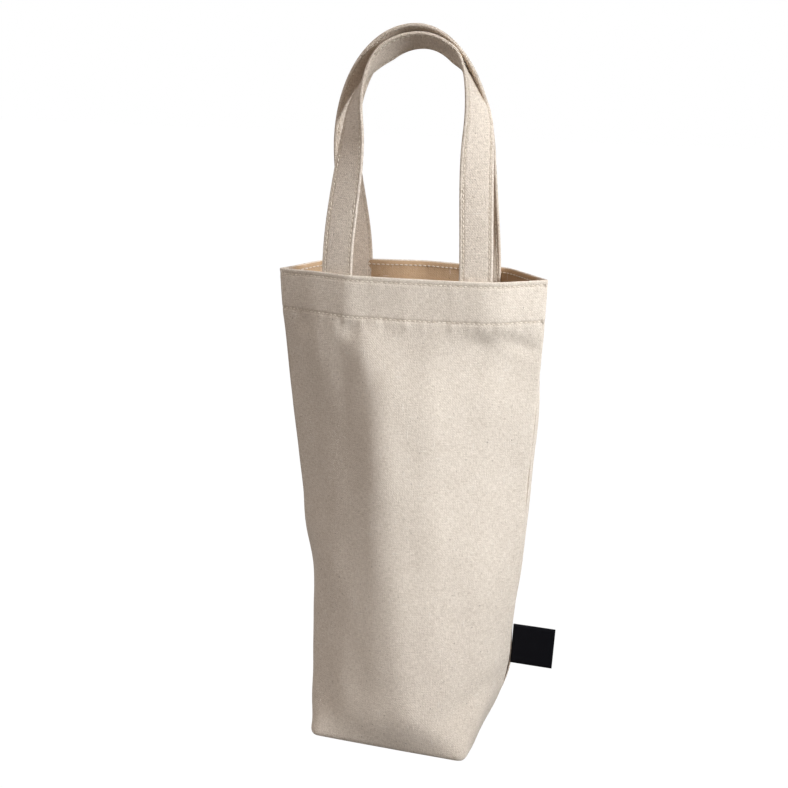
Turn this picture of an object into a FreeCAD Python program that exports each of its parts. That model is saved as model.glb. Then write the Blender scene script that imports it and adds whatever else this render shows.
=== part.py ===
# Cotton canvas carrier for one bottle: two sewn panels, boxed corners, two strap handles and a seam label.
# Frame: millimetres, +Z up, origin on the floor at the middle of the base, front of the bag towards -Y.
import FreeCAD
import Part
import Sketcher
import math
import os
from FreeCAD import Vector

doc = FreeCAD.newDocument("bottle_carrier")

# Driving dimensions
SIZES = {
    # Cloth and overall form
    "bag_height": 336.0,
    "base_half_width": 54.0,
    "base_half_depth": 47.0,
    "base_corner": 5.0,
    "base_round": 4.0,
    # Top of the boxed corners: the right one stands out, the left one is tucked in
    "gusset_height": 51.0,
    "gusset_half_width": 78.5,
    "gusset_left_width": 63.5,
    "gusset_half_depth": 45.0,
    "gusset_facet": 36.0,
    "gusset_right_shoulder": 65.0,
    "gusset_right_depth": 23.0,
    "gusset_left_shoulder": 61.5,
    "gusset_left_depth": 29.0,
    # Swell of the body: a soft ridge left of the middle
    "swell_height": 190.0,
    "swell_half_depth": 43.5,
    "swell_left_width": 79.0,
    "swell_ridge": 16.0,
    "swell_ridge_width": 16.0,
    "swell_right_shoulder": 40.0,
    "swell_right_depth": 26.0,
    "swell_left_shoulder": 52.0,
    "swell_left_depth": 21.5,
    # The ridge's upper end, a little below the hem
    "ridge_drop": 18.0,
    "ridge_half_depth": 36.0,
    "ridge_top": 28.0,
    "ridge_right_shoulder": 48.0,
    "ridge_right_depth": 27.5,
    "ridge_left_shoulder": 60.0,
    "ridge_left_depth": 23.5,
    # Mouth and hem
    "mouth_half_width": 91.5,
    "mouth_facet_margin": 5.0,
    "mouth_half_depth": 29.0,
    "mouth_corner": 4.0,
    "cloth_thickness": 0.8,
    "hem_depth": 30.0,
    "hem_thickness": 1.6,
    "seam_allowance": 9.0,
    # Handles
    "strap_width": 22.0,
    "strap_thickness": 2.2,
    "strap_half_span": 45.0,
    "strap_end_length": 27.0,
    "strap_gap": 0.3,
    "front_loop_half_width": 48.0,
    "loop_shoulder_height": 95.0,
    "front_loop_height": 150.0,
    "loop_nesting": 3.8,
    # Turn of a strap about its own run, in degrees: at its feet and at its crown
    "front_foot_turn": 90.0,
    "back_foot_turn": -90.0,
    "crown_turn": -30.0,
    # Thread
    "thread_width": 0.6,
    "thread_height": 0.4,
    "thread_gap": 0.1,
    "upper_row_inset": 3.5,
    "lower_row_inset": 2.0,
    "strap_row_inset": 2.5,
    "overlock_width": 4.5,
    "overlock_thickness": 0.4,
    # Seam label
    "label_length": 28.0,
    "label_height": 27.5,
    "label_layer": 0.35,
    "label_slit": 0.2,
    "label_start_height": 58.0,
    "label_gap": 0.7,
    # Reach of a cut past the face that it opens
    "overrun": 5.0,
}

# Sections drawn along each leg of a handle and along each half of its arch
LEG_STATIONS = 7
ARCH_STATIONS = 7

sheet = doc.addObject("Spreadsheet::Sheet", "Sizes")
for row, (alias, number) in enumerate(SIZES.items(), start=1):
    sheet.set(f"A{row}", alias)
    sheet.set(f"B{row}", str(number))
    sheet.setAlias(f"B{row}", alias)
doc.recompute()


def size(alias):
    """A driving dimension, read from the sheet."""
    return float(sheet.get(alias))


def cell(alias):
    """The same dimension as a term of an expression."""
    return f"Sizes.{alias}"


def value(expression):
    """An expression's number now, for a sketch's first guess."""
    return float(sheet.evalExpression(expression))


def plane(body, role):
    """One of the body's own origin planes."""
    return next(p for p in body.Origin.OriginFeatures if p.Role == role)


# Plan sections of the bag

HEM_LINE = f"({cell('bag_height')} - {cell('hem_depth')})"
RIDGE_TOP = f"({HEM_LINE} - {cell('ridge_drop')})"


def station(height, corners):
    """The half outline at one height: its corners as expressions, from the right seam to the left one."""
    return {"height": height, "corners": corners}


def both_sides(path):
    """A right half path joined to its mirror image on the left."""
    return path + [(f"-({across})", up) for across, up in reversed(path)]


def cut_corner(seam, facet, depth, corner):
    """The right half of an outline: side, cut corner and the end of the flat face."""
    share = f"({corner} / sqrt(({seam} - {facet})^2 + {depth}^2))"
    on_side = (f"{facet} + ({seam} - {facet}) * {share}", f"{depth} * {share} - {depth}")
    return [(seam, "0"), on_side, (f"{facet} - {corner}", f"-{depth}")]


def right_seam(height):
    """How far out the right seam lies at a height above the boxed corner."""
    rise = f"(({height}) - {cell('gusset_height')}) / ({cell('bag_height')} - {cell('gusset_height')})"
    spread = f"({cell('mouth_half_width')} - {cell('gusset_half_width')})"
    return f"({cell('gusset_half_width')} + {spread} * {rise})"


def left_seam(height):
    """How far out the left seam lies at a height between the swell and the hem."""
    rise = f"(({height}) - {cell('swell_height')}) / ({HEM_LINE} - {cell('swell_height')})"
    return f"({cell('swell_left_width')} + ({right_seam(HEM_LINE)} - {cell('swell_left_width')}) * {rise})"


def at_hem_level(height):
    """The outline in the hem, whose flat face is upright and whose seams go on spreading to the mouth."""
    facet = f"({cell('strap_half_span')} + {cell('strap_width')} / 2 + {cell('mouth_facet_margin')})"
    return station(
        height,
        both_sides(cut_corner(right_seam(height), facet, cell("mouth_half_depth"), cell("mouth_corner"))),
    )


def grown(section, by, height=None):
    """A station whose outline runs parallel to another's, outside it where `by` is positive."""
    points = [Vector(value(x), value(y), 0) for x, y in section["corners"]]
    normals = []
    for a, b in zip(points, points[1:]):
        run = (b - a).normalize()
        normals.append(Vector(-run.y, run.x, 0))
    shifts = [Vector(1 / normals[0].x, 0, 0)]
    for a, b in zip(normals, normals[1:]):
        shifts.append((a + b) / (1 + a.dot(b)))
    shifts.append(Vector(1 / normals[-1].x, 0, 0))
    corners = []
    for (x, y), shift in zip(section["corners"], shifts):
        corners.append((f"({x}) + ({by}) * ({shift.x:.6f})", f"({y}) + ({by}) * ({shift.y:.6f})"))
    return station(height or section["height"], corners)


FLOOR_INSET = f"(-{cell('base_round')})"
BASE = station(
    cell("base_round"),
    both_sides(
        cut_corner(
            cell("base_half_width"), cell("base_half_width"), cell("base_half_depth"), cell("base_corner")
        )
    ),
)
GUSSET_TOP = station(
    cell("gusset_height"),
    [
        (cell("gusset_half_width"), "0"),
        (cell("gusset_right_shoulder"), f"-{cell('gusset_right_depth')}"),
        (cell("gusset_facet"), f"-{cell('gusset_half_depth')}"),
        (f"-{cell('gusset_facet')}", f"-{cell('gusset_half_depth')}"),
        (f"-{cell('gusset_left_shoulder')}", f"-{cell('gusset_left_depth')}"),
        (f"-{cell('gusset_left_width')}", "0"),
    ],
)
SWELL = station(
    cell("swell_height"),
    [
        (right_seam(cell("swell_height")), "0"),
        (cell("swell_right_shoulder"), f"-{cell('swell_right_depth')}"),
        (f"{cell('swell_ridge_width')} / 2 - {cell('swell_ridge')}", f"-{cell('swell_half_depth')}"),
        (f"-{cell('swell_ridge_width')} / 2 - {cell('swell_ridge')}", f"-{cell('swell_half_depth')}"),
        (f"-{cell('swell_left_shoulder')}", f"-{cell('swell_left_depth')}"),
        (f"-{cell('swell_left_width')}", "0"),
    ],
)
UNDER_HEM = station(
    RIDGE_TOP,
    [
        (right_seam(RIDGE_TOP), "0"),
        (cell("ridge_right_shoulder"), f"-{cell('ridge_right_depth')}"),
        (f"{cell('swell_ridge_width')} / 2 - {cell('ridge_top')}", f"-{cell('ridge_half_depth')}"),
        (f"-{cell('swell_ridge_width')} / 2 - {cell('ridge_top')}", f"-{cell('ridge_half_depth')}"),
        (f"-{cell('ridge_left_shoulder')}", f"-{cell('ridge_left_depth')}"),
        (f"-{left_seam(RIDGE_TOP)}", "0"),
    ],
)
OUTER_SECTIONS = [
    grown(BASE, FLOOR_INSET, "0"),
    BASE,
    GUSSET_TOP,
    SWELL,
    UNDER_HEM,
    at_hem_level(HEM_LINE),
    at_hem_level(cell("bag_height")),
]
INTO_CLOTH = f"(-{cell('cloth_thickness')})"
INTO_HEM = f"(-{cell('hem_thickness')})"
BODY_HOLLOW = [
    grown(grown(BASE, FLOOR_INSET), INTO_CLOTH, cell("cloth_thickness")),
    grown(BASE, INTO_CLOTH),
    grown(GUSSET_TOP, INTO_CLOTH),
    grown(SWELL, INTO_CLOTH),
    grown(UNDER_HEM, INTO_CLOTH),
    grown(at_hem_level(HEM_LINE), INTO_CLOTH),
]
HEM_HOLLOW = [
    grown(at_hem_level(f"({HEM_LINE} - {cell('cloth_thickness')})"), INTO_HEM),
    grown(at_hem_level(f"({cell('bag_height')} + {cell('overrun')})"), INTO_HEM),
]


def polygon_sketch(body, name, role, corners):
    """A closed outline of straight lines, each corner held by expressions for its two coordinates."""
    sketch = body.newObject("Sketcher::SketchObject", name)
    sketch.AttachmentSupport = (plane(body, role), [""])
    sketch.MapMode = "FlatFace"
    points = [Vector(value(across), value(up), 0) for across, up in corners]
    count = len(points)
    sketch.addGeometry([Part.LineSegment(points[i], points[(i + 1) % count]) for i in range(count)], False)
    for i in range(count):
        sketch.addConstraint(Sketcher.Constraint("Coincident", i, 2, (i + 1) % count, 1))
    for i, corner in enumerate(corners):
        for axis, expression in zip("XY", corner):
            rule = Sketcher.Constraint(f"Distance{axis}", -1, 1, i, 1, value(expression))
            index = sketch.addConstraint(rule)
            sketch.renameConstraint(index, f"corner_{i}_{axis}")
            sketch.setExpression(f"Constraints.corner_{i}_{axis}", expression)
    return sketch


def half_section(body, name, section):
    """A sketch of the front half outline, closed along the seam plane."""
    sketch = polygon_sketch(body, name, "XY_Plane", section["corners"])
    sketch.setExpression("AttachmentOffset.Base.z", section["height"])
    return sketch


def loft(body, kind, name, sections):
    """An additive or subtractive loft through a list of stations, straight between them."""
    sketches = [half_section(body, f"{name}_{i}", s) for i, s in enumerate(sections)]
    feature = body.newObject(f"PartDesign::{kind}", name)
    feature.Profile = sketches[0]
    feature.Sections = sketches[1:]
    feature.Ruled = True
    doc.recompute()
    return feature


# Seam path in the XZ plane, from one side of the mouth, under the base and up the other side

def seam_path(side, inset):
    """The seam line at the right (1) or the left (-1), from the hem down, drawn in by `inset`."""
    widths = [
        (right_seam(HEM_LINE), HEM_LINE),
        (right_seam(cell("swell_height")), cell("swell_height")),
        (cell("gusset_half_width"), cell("gusset_height")),
    ]
    if side < 0:
        widths[1] = (cell("swell_left_width"), cell("swell_height"))
        widths[2] = (cell("gusset_left_width"), cell("gusset_height"))
    path = [(f"{width} - ({inset})", height) for width, height in widths]
    path.append((f"{cell('base_half_width')} - ({inset})", f"{cell('base_round')} + ({inset})"))
    path.append((f"{cell('base_half_width')} - {cell('base_round')} - ({inset})", f"({inset})"))
    return path if side > 0 else [(f"-({across})", up) for across, up in path]


def seam_round(inset):
    """The whole seam line, from the hem at the right, under the base and up to the hem at the left."""
    return seam_path(1, inset) + seam_path(-1, inset)[::-1]


def front_panel():
    """One panel: face, half of each gusset and half of the base, with its turned hem and seam allowances."""
    body = doc.addObject("PartDesign::Body", "front_panel")
    loft(body, "AdditiveLoft", "cloth_outside", OUTER_SECTIONS)
    loft(body, "SubtractiveLoft", "cloth_inside", BODY_HOLLOW)
    loft(body, "SubtractiveLoft", "hem_inside", HEM_HOLLOW)

    half_cloth = f"{cell('cloth_thickness')} / 2"
    outer_edge = seam_round(half_cloth)
    inner_edge = seam_round(cell("seam_allowance"))
    outline = polygon_sketch(body, "seam_allowance_outline", "XZ_Plane", outer_edge + inner_edge[::-1])
    allowance = body.newObject("PartDesign::Pad", "seam_allowance")
    allowance.Profile = outline
    allowance.setExpression("Length", cell("cloth_thickness"))
    doc.recompute()

    inner = f"({cell('base_half_width')} - {cell('base_round')} - 2 * {cell('cloth_thickness')})"
    outer = f"({cell('base_half_width')} - {cell('base_round')})"
    reach = f"-({cell('base_half_depth')} - {cell('base_round')} - {cell('base_corner')})"
    for side, sign in (("left", "-"), ("right", "")):
        corners = [(f"{sign}{inner}", "0"), (f"{sign}{inner}", reach)]
        corners += [(f"{sign}{outer}", reach), (f"{sign}{outer}", "0")]
        strip = polygon_sketch(body, f"{side}_corner_outline", "XY_Plane", corners)
        strip.setExpression("AttachmentOffset.Base.z", half_cloth)
        stand = body.newObject("PartDesign::Pad", f"{side}_corner_allowance")
        stand.Profile = strip
        stand.setExpression("Length", cell("seam_allowance"))
        doc.recompute()
    return body


def back_panel(front):
    """The second panel, cut from the same pattern and sewn face to face with the first."""
    panel = doc.addObject("Part::Mirroring", "back_panel")
    panel.Source = front
    panel.Normal = Vector(0, 1, 0)
    return panel


# Strap handles

def smooth(share):
    """A ramp from 0 to 1 that starts and ends level."""
    return share * share * (3 - 2 * share)


def loop_stations(half_width, height, side, foot_turn):
    """Centre, width direction and face normal along a strap, from its left foot to its right foot."""
    shoulder = size("loop_shoulder_height")
    span = size("strap_half_span")
    seat = size("hem_thickness") + size("strap_gap") + size("strap_thickness") / 2
    foot_y = side * (size("mouth_half_depth") - seat)
    foot_z = size("bag_height") + size("strap_gap")
    half = []
    for i in range(LEG_STATIONS):
        share = i / LEG_STATIONS
        half.append(Vector(span + (half_width - span) * smooth(share), 0, shoulder * share))
    for i in range(ARCH_STATIONS + 1):
        angle = math.pi / 2 * i / ARCH_STATIONS
        half.append(Vector(half_width * math.cos(angle), 0, shoulder + (height - shoulder) * math.sin(angle)))
    run = [0.0]
    for a, b in zip(half, half[1:]):
        run.append(run[-1] + a.distanceToPoint(b))
    turns = []
    for p, gone in zip(half, run):
        share = smooth(gone / run[-1])
        p.y = foot_y * (1 - share)
        p.z += foot_z
        turns.append(foot_turn + (size("crown_turn") - foot_turn) * share)
    centres = [Vector(-p.x, p.y, p.z) for p in half] + half[-2::-1]
    turns = turns + turns[-2::-1]
    last = len(centres) - 1
    stations = []
    for i, centre in enumerate(centres):
        along = centres[min(i + 1, last)] - centres[max(i - 1, 0)]
        if i in (0, last):
            along = Vector(0, 0, along.z)
        along.normalize()
        out = along.cross(Vector(0, 1, 0)).normalize()
        across = out.cross(along)
        turn = math.radians(turns[i])
        width = across * math.cos(turn) + out * math.sin(turn)
        face = out * math.cos(turn) - across * math.sin(turn)
        stations.append((centre, width, face))
    return stations


def ribbon(stations, width, thickness, shift=0.0, lift=0.0):
    """A flat strip through the stations, set `shift` across the strap and `lift` off its middle."""
    wires = []
    for centre, across, face in stations:
        middle = centre + across * shift + face * lift
        a = across * (width / 2)
        b = face * (thickness / 2)
        corners = [middle + a + b, middle - a + b, middle - a - b, middle + a - b]
        wires.append(Part.makePolygon(corners + corners[:1]))
    return Part.makeLoft(wires, True, True)


def shaped(name, shape):
    """A sub-part whose shape is made from the sheet's sizes."""
    feature = doc.addObject("Part::Feature", name)
    feature.Shape = shape
    feature.Placement = FreeCAD.Placement()
    return feature


def handle(name, stations):
    """The free loop of one strap, and the thread rows along both edges of both faces."""
    loop = shaped(name, ribbon(stations, size("strap_width"), size("strap_thickness")))
    shift = size("strap_width") / 2 - size("strap_row_inset")
    lift = size("strap_thickness") / 2 + size("thread_gap") + size("thread_height") / 2
    rows = []
    for across in (-shift, shift):
        for off in (-lift, lift):
            rows.append(ribbon(stations[1:-1], size("thread_width"), size("thread_height"), across, off))
    thread = shaped(f"{name}_stitching", Part.makeCompound(rows))
    return [loop, thread]


def handle_end(name, across, side):
    """The end of a strap, flat against the inner face of the hem and caught by its thread rows."""
    end = doc.addObject("Part::Box", name)
    end.setExpression("Length", cell("strap_width"))
    end.setExpression("Width", cell("strap_thickness"))
    end.setExpression("Height", cell("strap_end_length"))
    seat = f"({cell('mouth_half_depth')} - {cell('hem_thickness')} - {cell('strap_gap')})"
    near = f"-{seat}" if side < 0 else f"{seat} - {cell('strap_thickness')}"
    sign = "-" if across < 0 else ""
    end.setExpression("Placement.Base.x", f"{sign}{cell('strap_half_span')} - {cell('strap_width')} / 2")
    end.setExpression("Placement.Base.y", near)
    end.setExpression("Placement.Base.z", f"{cell('bag_height')} - {cell('strap_end_length')}")
    return end


# Thread on the cloth

def hem_row(name, level):
    """One thread row all round the hem, at a height given as an expression."""
    half = doc.addObject("PartDesign::Body", f"{name}_front_half")
    below = f"({level} - {cell('thread_width')} / 2)"
    above = f"({level} + {cell('thread_width')} / 2)"
    outside = f"({cell('thread_gap')} + {cell('thread_height')})"
    ends = [grown(at_hem_level(below), outside), grown(at_hem_level(above), outside)]
    loft(half, "AdditiveLoft", f"{name}_outside", ends)
    cut_ends = [f"({below} - {cell('overrun')})", f"({above} + {cell('overrun')})"]
    hollow = [grown(at_hem_level(end), cell("thread_gap")) for end in cut_ends]
    loft(half, "SubtractiveLoft", f"{name}_inside", hollow)
    other = doc.addObject("Part::Mirroring", f"{name}_back_half")
    other.Source = half
    other.Normal = Vector(0, 1, 0)
    row = doc.addObject("Part::Compound", name)
    row.Links = [half, other]
    return row


def sheath(path, slot_path):
    """Overlocking round the doubled edge of two allowances: a strip with the cloth's slot taken out."""
    slot_half = size("cloth_thickness") + size("thread_gap")
    outer_half = slot_half + size("overlock_thickness")

    def slab(outline, half):
        corners = [Vector(x, -half, z) for x, z in outline]
        return Part.Face(Part.makePolygon(corners + corners[:1])).extrude(Vector(0, 2 * half, 0))

    return slab(path, outer_half).cut(slab(slot_path, slot_half))


def side_run(side, inset, top, bottom):
    """A side seam between two heights, drawn in by `inset`."""
    points = [(value(x), value(z)) for x, z in seam_path(side, str(inset))]
    hem, swell, bend, base, _ = points

    def between(low, high, z):
        return (low[0] + (high[0] - low[0]) * (z - low[1]) / (high[1] - low[1]), z)

    return [between(swell, hem, top), swell, bend, between(base, bend, bottom)]


def overlocked_seams():
    """The overlocking of the side seams, the base seam and the two boxed corners."""
    edge = size("seam_allowance")
    spare = size("overrun")
    start = edge - size("overlock_width")
    slot_end = edge + size("thread_gap")
    end = slot_end + size("overlock_thickness")
    top = size("bag_height") - size("hem_depth") - spare
    bottom = size("base_round") + end + 2 * spare

    sides = []
    beyond = (top + spare, bottom - spare)
    for name, side in (("left_seam_overlock", -1), ("right_seam_overlock", 1)):
        path = side_run(side, start, top, bottom) + side_run(side, end, top, bottom)[::-1]
        slot = side_run(side, start - spare, *beyond) + side_run(side, slot_end, *beyond)[::-1]
        sides.append(shaped(name, sheath(path, slot)))

    reach = size("base_half_width") - size("base_round") - end - spare
    base = [(-reach, start), (reach, start), (reach, end), (-reach, end)]
    far = reach + spare
    base_slot = [(-far, start - spare), (far, start - spare), (far, slot_end), (-far, slot_end)]
    under = shaped("base_seam_overlock", sheath(base, base_slot))

    outer_x = size("base_half_width") - size("base_round")
    middle_x = outer_x - size("cloth_thickness")
    crest = size("cloth_thickness") / 2 + edge
    slot_half = size("cloth_thickness") + size("thread_gap")
    full_half = slot_half + size("overlock_thickness")
    inner_y = size("cloth_thickness") + size("thread_gap") + size("overlock_thickness") + size("thread_width")
    outer_y = size("base_half_depth") - size("base_round") - size("base_corner") - size("thread_width")
    foot = crest - size("overlock_width")

    def block(half, low_y, high_y, low_z, high_z):
        corner = Vector(middle_x - half, low_y, low_z)
        return Part.makeBox(2 * half, high_y - low_y, high_z - low_z, corner)

    pieces = []
    for low, high in ((-outer_y, -inner_y), (inner_y, outer_y)):
        whole = block(full_half, low, high, foot, crest + end - edge)
        slot = block(slot_half, low - spare, high + spare, foot - spare, crest + slot_end - edge)
        pieces.append(whole.cut(slot))
    right_corner = shaped("right_corner_overlock", Part.makeCompound(pieces))
    left_corner = doc.addObject("Part::Mirroring", "left_corner_overlock")
    left_corner.Source = right_corner
    left_corner.Normal = Vector(1, 0, 0)
    return [*sides, under, left_corner, right_corner]


# Label folded double and caught in the right side seam

def side_label():
    """A woven tape folded end to end, its fold outwards, square to the seam that holds it."""
    body = doc.addObject("PartDesign::Body", "side_label")
    slit = f"{cell('label_slit')} / 2"
    skin = f"({cell('label_slit')} / 2 + {cell('label_layer')})"
    fold = f"({cell('label_length')} - {cell('label_layer')})"
    corners = [
        ("0", slit),
        (fold, slit),
        (fold, f"-{slit}"),
        ("0", f"-{slit}"),
        ("0", f"-{skin}"),
        (cell("label_length"), f"-{skin}"),
        (cell("label_length"), skin),
        ("0", skin),
    ]
    tape = body.newObject("PartDesign::Pad", "folded_tape")
    tape.Profile = polygon_sketch(body, "tape_outline", "XY_Plane", corners)
    tape.setExpression("Length", cell("label_height"))
    seam = right_seam(cell("label_start_height"))
    spread = f"({cell('mouth_half_width')} - {cell('gusset_half_width')})"
    body.setExpression("Placement.Base.x", f"{seam} + {cell('label_gap')}")
    body.setExpression("Placement.Base.z", cell("label_start_height"))
    lean = math.degrees(math.atan(value(f"{spread} / ({cell('bag_height')} - {cell('gusset_height')})")))
    body.Placement = FreeCAD.Placement(body.Placement.Base, FreeCAD.Rotation(Vector(0, 1, 0), lean))
    return body


front = front_panel()
front_half_width = size("front_loop_half_width")
front_height = size("front_loop_height")
front_loop = loop_stations(front_half_width, front_height, -1, size("front_foot_turn"))
back_half_width = front_half_width + size("loop_nesting")
back_height = front_height + size("loop_nesting")
back_loop = loop_stations(back_half_width, back_height, 1, size("back_foot_turn"))
sub_parts = [front, back_panel(front)]
sub_parts += handle("front_handle", front_loop)
sub_parts += handle("back_handle", back_loop)
sub_parts += [
    handle_end("front_handle_left_end", -1, -1),
    handle_end("front_handle_right_end", 1, -1),
    handle_end("back_handle_left_end", -1, 1),
    handle_end("back_handle_right_end", 1, 1),
]
sub_parts.append(hem_row("hem_upper_stitching", f"({cell('bag_height')} - {cell('upper_row_inset')})"))
sub_parts.append(hem_row("hem_lower_stitching", f"({HEM_LINE} + {cell('lower_row_inset')})"))
sub_parts += overlocked_seams()
sub_parts.append(side_label())
doc.recompute()

for thing in doc.Objects:
    if "Invalid" in thing.State or "Error" in thing.State:
        raise RuntimeError(f"{thing.Name} did not build: {thing.State}")
os.makedirs("parts", exist_ok=True)
for part in sub_parts:
    part.Label = part.Name
    if part.Shape.isNull() or not part.Shape.isValid():
        raise RuntimeError(f"{part.Name} has no sound shape")
    part.Shape.exportStep(f"parts/{part.Name}.step")
    box = part.Shape.BoundBox
    print(f"{part.Name:26s} solids {len(part.Shape.Solids)} volume {part.Shape.Volume:9.1f} "
          f"x {box.XMin:7.1f} {box.XMax:7.1f} y {box.YMin:6.1f} {box.YMax:6.1f} "
          f"z {box.ZMin:6.1f} {box.ZMax:6.1f}")
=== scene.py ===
"""Dress of the canvas bottle carrier: cloth panels, strap handles, stitches and the seam label."""

import math

import bpy
import numpy as np
from mathutils import Matrix, Vector


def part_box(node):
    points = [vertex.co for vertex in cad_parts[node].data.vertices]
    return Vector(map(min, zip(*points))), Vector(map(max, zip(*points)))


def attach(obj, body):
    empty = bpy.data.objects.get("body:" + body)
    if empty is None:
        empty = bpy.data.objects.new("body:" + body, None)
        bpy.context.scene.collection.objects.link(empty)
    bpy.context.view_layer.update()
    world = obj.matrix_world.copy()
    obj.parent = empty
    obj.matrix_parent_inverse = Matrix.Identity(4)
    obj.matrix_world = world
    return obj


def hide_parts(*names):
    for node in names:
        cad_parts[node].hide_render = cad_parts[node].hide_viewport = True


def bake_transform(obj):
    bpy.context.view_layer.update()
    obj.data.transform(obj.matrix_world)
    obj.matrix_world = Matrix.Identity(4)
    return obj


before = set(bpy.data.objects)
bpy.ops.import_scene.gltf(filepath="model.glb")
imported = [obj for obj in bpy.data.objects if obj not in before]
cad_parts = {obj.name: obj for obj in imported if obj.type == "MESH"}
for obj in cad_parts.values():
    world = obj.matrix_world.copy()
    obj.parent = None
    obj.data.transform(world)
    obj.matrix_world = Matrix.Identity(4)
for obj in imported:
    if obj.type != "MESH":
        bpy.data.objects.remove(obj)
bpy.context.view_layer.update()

MM = 0.001


def solid_box(node):
    """A node's lowest and highest corners in millimetres, to a tenth."""
    return np.round(np.array([tuple(place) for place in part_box(node)]) / MM, 1)


# Sizes in millimetres that the solids give
RIM = float(solid_box("front_panel")[1, 2])
STRAP_WIDTH = float(np.ptp(solid_box("front_handle_left_end")[:, 0]))
UPPER_ROW = float(solid_box("hem_upper_stitching")[:, 2].mean())
LOWER_ROW = float(solid_box("hem_lower_stitching")[:, 2].mean())

# Sizes of the cloth and its folds in millimetres
CLOTH = 0.8
FOLD = 0.9
HEM = 30.0
HEM_EDGE = RIM - HEM
BASE_ROUND = 5.0
ALLOWANCE = 9.0
SEAM_TO_SEAM = 198.0
STRAP_THICKNESS = 2.4
STRAP_TUCK = 26.0
STRAP_ROW = 8.5

# How far the rim drops at the left seam and how far the seams draw the cloth in, each with its reach to the
# side and the rise over which it comes in
RIM_DROP = 2.0
RIM_DROP_REACH = 24.0
RIM_DROP_RISE = 70.0
SEAM_DRAW = 0.9
SEAM_DRAW_REACH = 1.6
SEAM_DRAW_START = 2.0
SEAM_DRAW_RISE = 12.0

# The most that a rounded bend takes of the line beside it
BEND_SHARE = 0.48

# How finely the cloth is divided
BEND_POINTS = 13
AROUND = 221
BASE_ROWS = 5
TURNED_ROWS = 14
BASE_FLAT = 0.92
ROW_STEP = 2.4
FINE_STEP = 0.6
FINE_FROM = LOWER_ROW - 5
STRAP_POINTS = 45
HALF_POINTS = 80
HANDLE_STATIONS = 200
SEAM_POINTS = 40


# Curves and sections

def ease(t):
    """A ramp from 0 to 1, level at both ends."""
    t = np.clip(t, 0.0, 1.0)
    return t * t * (3 - 2 * t)


def bump(x, centre, spread):
    """A smooth rise of height 1."""
    return np.exp(-(((x - centre) / spread) ** 2))


def run_of(line):
    """How far along a line each of its points lies."""
    return np.concatenate([[0], np.cumsum(np.linalg.norm(np.diff(line, axis=0), axis=1))])


def rounded_line(bends, count):
    """A polyline whose bends (x, y, radius) are rounded, at `count` points spaced evenly along it."""
    points = np.array([bend[:2] for bend in bends], float)
    radii = [bend[2] for bend in bends]
    line = [points[0]]
    for i in range(1, len(points) - 1):
        before, here, after = points[i - 1], points[i], points[i + 1]
        a, b = before - here, after - here
        la, lb = np.linalg.norm(a), np.linalg.norm(b)
        a, b = a / la, b / lb
        opening = math.acos(float(np.clip(a @ b, -1, 1)))
        cut = min(radii[i] / max(math.tan(opening / 2), 1e-4), BEND_SHARE * la, BEND_SHARE * lb)
        start, end = here + a * cut, here + b * cut
        for t in np.linspace(0, 1, BEND_POINTS):
            line.append((1 - t) ** 2 * start + 2 * t * (1 - t) * here + t * t * end)
    line.append(points[-1])
    line = np.array(line)
    run = run_of(line)
    shares = np.linspace(0, run[-1], count)
    return np.stack([np.interp(shares, run, line[:, k]) for k in range(2)], axis=1)


class Wall:
    """One side of the bag as a smooth surface through plan outlines at rising heights."""

    def __init__(self, outlines, count):
        self.heights = np.array([z for z, _ in outlines], float)
        self.plans = np.array([rounded_line(line, count) for _, line in outlines])
        steps = np.diff(self.heights)[:, None, None]
        slopes = np.diff(self.plans, axis=0) / steps
        tangents = np.empty_like(self.plans)
        tangents[0], tangents[-1] = slopes[0], slopes[-1]
        tangents[1:-1] = (slopes[:-1] * steps[1:] + slopes[1:] * steps[:-1]) / (steps[1:] + steps[:-1])
        self.tangents = tangents

    def plan(self, z):
        """The outline (count, 2) at height z."""
        i = int(np.clip(np.searchsorted(self.heights, z) - 1, 0, len(self.heights) - 2))
        step = self.heights[i + 1] - self.heights[i]
        t = (z - self.heights[i]) / step
        a, b = self.plans[i], self.plans[i + 1]
        ma, mb = self.tangents[i] * step, self.tangents[i + 1] * step
        return (
            (2 * t**3 - 3 * t**2 + 1) * a
            + (t**3 - 2 * t**2 + t) * ma
            + (3 * t**2 - 2 * t**3) * b
            + (t**3 - t**2) * mb
        )


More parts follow.
